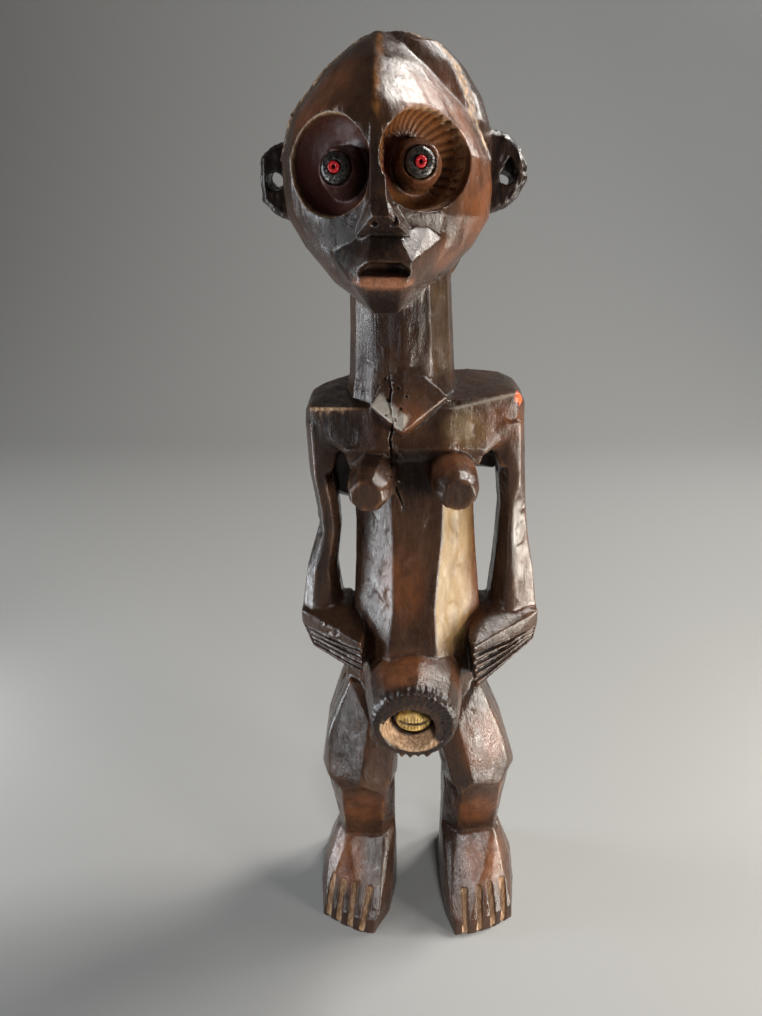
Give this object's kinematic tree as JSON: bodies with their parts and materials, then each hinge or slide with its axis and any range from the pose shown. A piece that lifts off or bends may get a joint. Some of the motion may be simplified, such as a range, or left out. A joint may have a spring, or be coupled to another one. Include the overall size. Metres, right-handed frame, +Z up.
{
  "type": "fertility doll",
  "caption": "Standing carved wooden figure with a mask-like face, resin-set bead eyes, pierced ears, hands on the belly and a projecting navel that holds a shell.",
  "frame": {"origin": "centre of the bounding box in X and Y, on the floor under the soles", "axes": "+Z up along the standing figure; the face, the navel and the toes point to -Y; +X is on the right as the figure is seen from the front"},
  "size_m": [0.1018, 0.0802, 0.3281],
  "materials": {
    "wood": "dark waxed patina, satin to gloss",
    "resin": "hardened black tree resin, lumpy and glossy",
    "glass_bead": "opaque red seed-bead glass, glossy",
    "shell": "aged yellow cowrie, satin",
    "packing": "matte packed fibre and earth"
  },
  "bodies": {
    "root": {"carved_figure": "wood", "eye_resin_left": "resin", "eye_resin_right": "resin", "eye_bead_left": "glass_bead", "eye_bead_right": "glass_bead", "navel_shell": "shell", "navel_resin": "resin", "navel_packing": "packing"}
  },
  "joints": []
}
